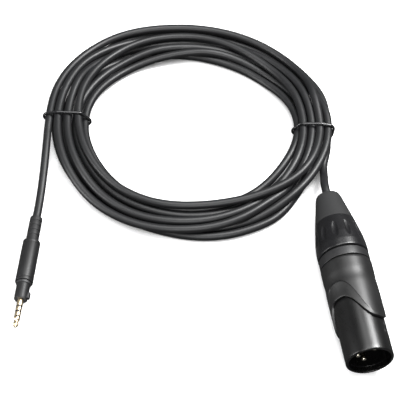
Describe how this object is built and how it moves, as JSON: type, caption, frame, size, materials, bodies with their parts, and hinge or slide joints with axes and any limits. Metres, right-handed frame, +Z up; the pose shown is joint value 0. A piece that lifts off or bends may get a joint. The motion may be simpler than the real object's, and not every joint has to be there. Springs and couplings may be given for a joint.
{
  "type": "coiled audio cable",
  "caption": "Slim black audio cable wound in a flat coil and held by two wire ties, with a round multi-pin screw-together connector on one end and a small gold jack plug on the other.",
  "frame": {"origin": "centre of the whole object's footprint on the floor", "axes": "+Z up from the floor the coil lies on; +Y from the connectors' side towards the far side of the coil; +X towards the XLR side"},
  "size_m": [0.15, 0.1867, 0.0211],
  "materials": {
    "cable_pvc": "matte-satin black PVC",
    "shield_copper": "tinned copper braid",
    "conductor_1": "satin red insulation",
    "conductor_2": "satin white insulation",
    "conductor_3": "satin blue insulation",
    "conductor_4": "satin green insulation",
    "tie_pvc": "glossy black PVC coating",
    "tie_steel": "drawn steel wire",
    "shell_black": "satin black coated die-casting",
    "ring_black": "moulded black",
    "insert_plastic": "moulded black insulator",
    "contact_plated": "bright plated brass",
    "spring_steel": "bright sprung strip",
    "chuck_plastic": "moulded grey collet",
    "nut_gloss": "glossy moulded black",
    "boot_rubber": "matte dark rubber",
    "gold": "polished gold plating",
    "plug_insulator": "moulded black",
    "plug_body": "satin black coated metal",
    "relief_rubber": "matte moulded rubber"
  },
  "bodies": {
    "coil": {"cable_jacket": "cable_pvc", "cable_shield": "shield_copper", "cable_conductor_1": "conductor_1", "cable_conductor_2": "conductor_2", "cable_conductor_3": "conductor_3", "cable_conductor_4": "conductor_4", "tie_left_coating": "tie_pvc", "tie_left_wire": "tie_steel", "tie_right_coating": "tie_pvc", "tie_right_wire": "tie_steel"},
    "xlr_tail": {"xlr_tail_jacket": "cable_pvc", "xlr_conductor_1": "conductor_1", "xlr_conductor_2": "conductor_2", "xlr_conductor_3": "conductor_3", "xlr_conductor_4": "conductor_4", "xlr_shell": "shell_black", "xlr_insert": "insert_plastic", "xlr_contact_1": "contact_plated", "xlr_contact_2": "contact_plated", "xlr_contact_3": "contact_plated", "xlr_contact_4": "contact_plated", "xlr_ground_spring": "spring_steel", "xlr_chuck": "chuck_plastic"},
    "xlr_ring": {"xlr_coding_ring": "ring_black"},
    "xlr_nut": {"xlr_nut": "nut_gloss", "xlr_boot": "boot_rubber"},
    "plug_tail": {"plug_tail_jacket": "cable_pvc", "plug_conductor_1": "conductor_1", "plug_conductor_2": "conductor_2", "plug_conductor_3": "conductor_3", "plug_conductor_4": "conductor_4", "plug_tip_contact": "gold", "plug_insulator_3": "plug_insulator", "plug_ring_contact_2": "gold", "plug_insulator_2": "plug_insulator", "plug_ring_contact_1": "gold", "plug_insulator_1": "plug_insulator", "plug_sleeve_contact": "gold", "plug_core": "plug_insulator", "plug_collar": "plug_body"},
    "plug_relief": {"plug_relief": "relief_rubber"},
    "plug_barrel": {"plug_barrel": "plug_body"}
  },
  "joints": [
    {"name": "xlr_tail_swing", "type": "hinge", "parent": "coil", "child": "xlr_tail", "pos_m": [0.0538, 0.0052, 0.00415], "axis": [0, 0, 1], "range_deg": [-15, 30]},
    {"name": "ring_slide", "type": "slide", "parent": "xlr_tail", "child": "xlr_ring", "axis": [-0.1461, 0.9893, 0], "range_m": [0, 0.003]},
    {"name": "nut_turn", "type": "hinge", "parent": "xlr_ring", "child": "xlr_nut", "pos_m": [0.05692, -0.03299, 0.0106], "axis": [-0.1461, 0.9893, 0], "range_deg": [0, 1083]},
    {"name": "plug_tail_swing", "type": "hinge", "parent": "coil", "child": "plug_tail", "pos_m": [-0.0669, 0.0264, 0.0066], "axis": [0, 0, -1], "range_deg": [-8, 25]},
    {"name": "relief_slide", "type": "slide", "parent": "plug_tail", "child": "plug_relief", "axis": [0.0819, 0.9966, 0], "range_m": [0, 0.0024]},
    {"name": "barrel_turn", "type": "hinge", "parent": "plug_relief", "child": "plug_barrel", "pos_m": [-0.07034, -0.03923, 0.0037], "axis": [0.0819, 0.9966, 0], "range_deg": [0, 1444]}
  ],
  "couplings": [
    {"joint": "nut_turn", "follows": "ring_slide", "rad_per_m": 6283.2},
    {"joint": "barrel_turn", "follows": "relief_slide", "rad_per_m": 10472}
  ]
}
